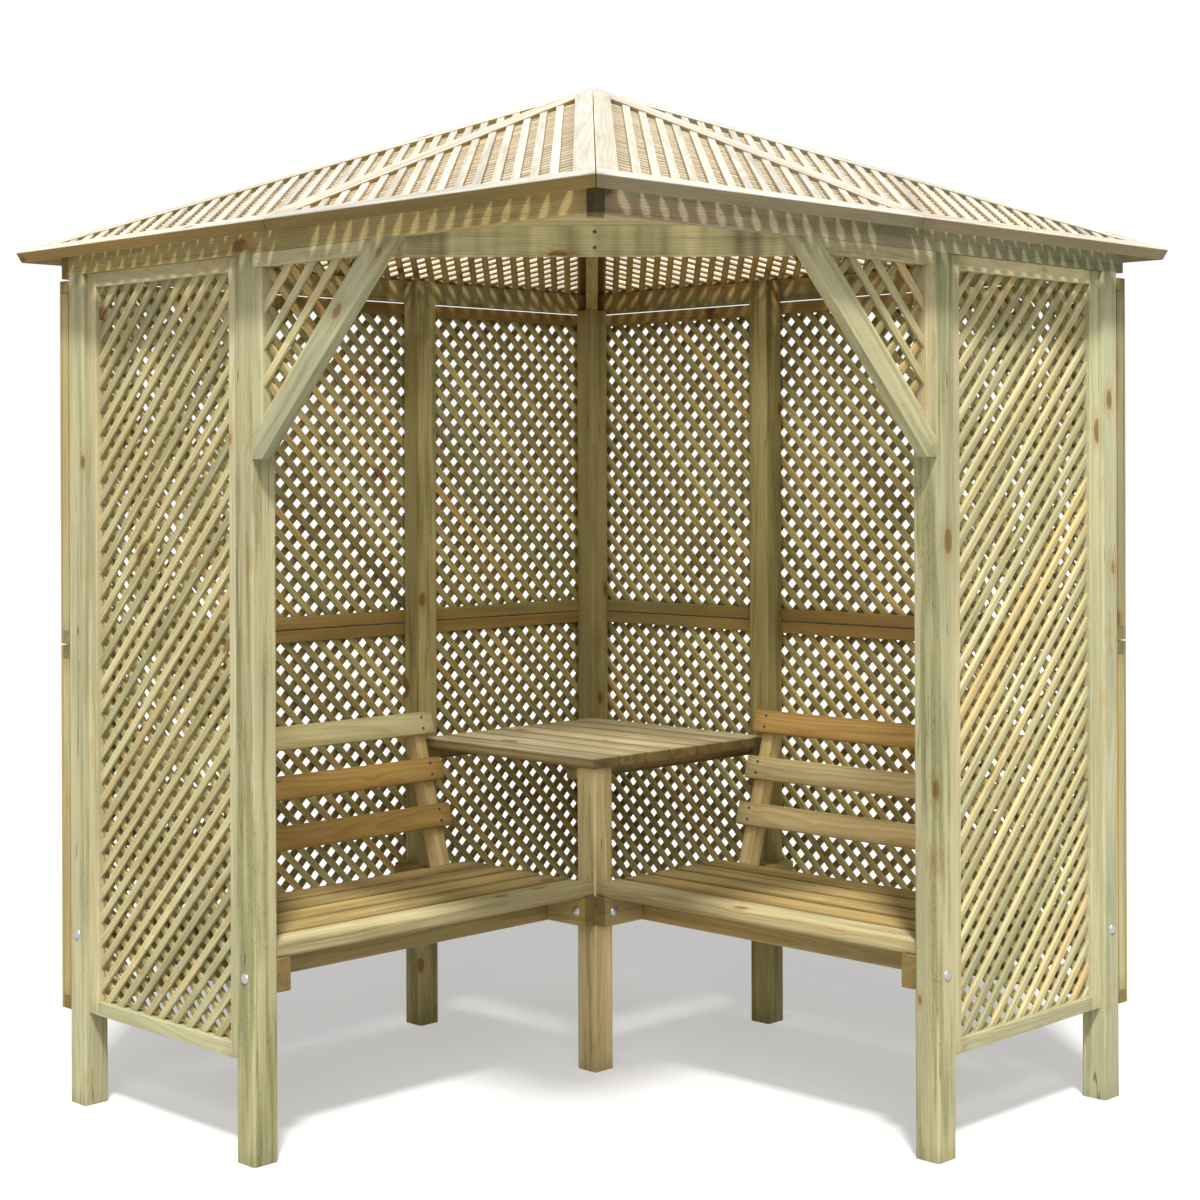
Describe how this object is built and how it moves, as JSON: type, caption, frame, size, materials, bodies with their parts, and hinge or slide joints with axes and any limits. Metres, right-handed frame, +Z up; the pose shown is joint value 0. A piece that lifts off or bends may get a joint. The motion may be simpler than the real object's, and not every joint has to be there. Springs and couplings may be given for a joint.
{
  "type": "corner arbour seat",
  "caption": "Timber corner arbour with trellis walls and sides, slatted benches with leaning backrests, a corner table and a four-sided trellis roof.",
  "frame": {"origin": "centre of the roof's square plan, on the ground under the posts' feet", "axes": "+Z up; the walls' rear corner points to (-X, +Y) and the open front corner to (+X, -Y); the left wall stands at -X and the right wall at +Y"},
  "size_m": [2.013, 2.013, 2.4923],
  "materials": {
    "post_timber": "rough sawn or planed softwood, pressure treated, unpainted",
    "beam_timber": "rough sawn or planed softwood, pressure treated, unpainted",
    "wall_trellis_timber": "rough sawn or planed softwood, pressure treated, unpainted",
    "side_trellis_timber": "rough sawn or planed softwood, pressure treated, unpainted",
    "roof_timber": "rough sawn or planed softwood, pressure treated, unpainted",
    "seat_timber": "rough sawn or planed softwood, pressure treated, unpainted",
    "backrest_timber": "rough sawn or planed softwood, pressure treated, unpainted",
    "table_timber": "rough sawn or planed softwood, pressure treated, unpainted",
    "galvanised_steel": "dull galvanised"
  },
  "bodies": {
    "root": {"entrance_header": "beam_timber", "entrance_soffit": "beam_timber", "front_hip_rafter": "beam_timber", "left_backrest": "backrest_timber", "left_bracket_brace": "post_timber", "left_bracket_trellis": "side_trellis_timber", "left_corner_post": "post_timber", "left_corner_post_coach_bolt": "galvanised_steel", "left_front_beam": "beam_timber", "left_front_post": "post_timber", "left_front_post_coach_bolt": "galvanised_steel", "left_hip_rafter": "beam_timber", "left_inner_bearer": "seat_timber", "left_mid_post": "post_timber", "left_outer_bearer": "seat_timber", "left_seat_board_1": "seat_timber", "left_seat_board_2": "seat_timber", "left_seat_board_3": "seat_timber", "left_seat_board_4": "seat_timber", "left_seat_board_5": "seat_timber", "left_seat_rail": "seat_timber", "left_side_trellis": "side_trellis_timber", "left_wall_beam": "beam_timber", "left_wall_lower_trellis": "wall_trellis_timber", "left_wall_upper_trellis": "wall_trellis_timber", "rear_corner_post": "post_timber", "rear_hip_rafter": "beam_timber", "right_backrest": "backrest_timber", "right_bracket_brace": "post_timber", "right_bracket_trellis": "side_trellis_timber", "right_corner_post": "post_timber", "right_corner_post_coach_bolt": "galvanised_steel", "right_front_beam": "beam_timber", "right_front_post": "post_timber", "right_front_post_coach_bolt": "galvanised_steel", "right_hip_rafter": "beam_timber", "right_inner_bearer": "seat_timber", "right_mid_post": "post_timber", "right_outer_bearer": "seat_timber", "right_seat_board_1": "seat_timber", "right_seat_board_2": "seat_timber", "right_seat_board_3": "seat_timber", "right_seat_board_4": "seat_timber", "right_seat_board_5": "seat_timber", "right_seat_rail": "seat_timber", "right_side_trellis": "side_trellis_timber", "right_wall_beam": "beam_timber", "right_wall_lower_trellis": "wall_trellis_timber", "right_wall_upper_trellis": "wall_trellis_timber", "roof_front_left_to_front": "roof_timber", "roof_front_left_to_left": "roof_timber", "roof_front_right_to_front": "roof_timber", "roof_front_right_to_right": "roof_timber", "roof_rear_left_to_left": "roof_timber", "roof_rear_left_to_rear": "roof_timber", "roof_rear_right_to_rear": "roof_timber", "roof_rear_right_to_right": "roof_timber", "table_leg": "post_timber", "table_top": "table_timber"}
  },
  "joints": []
}
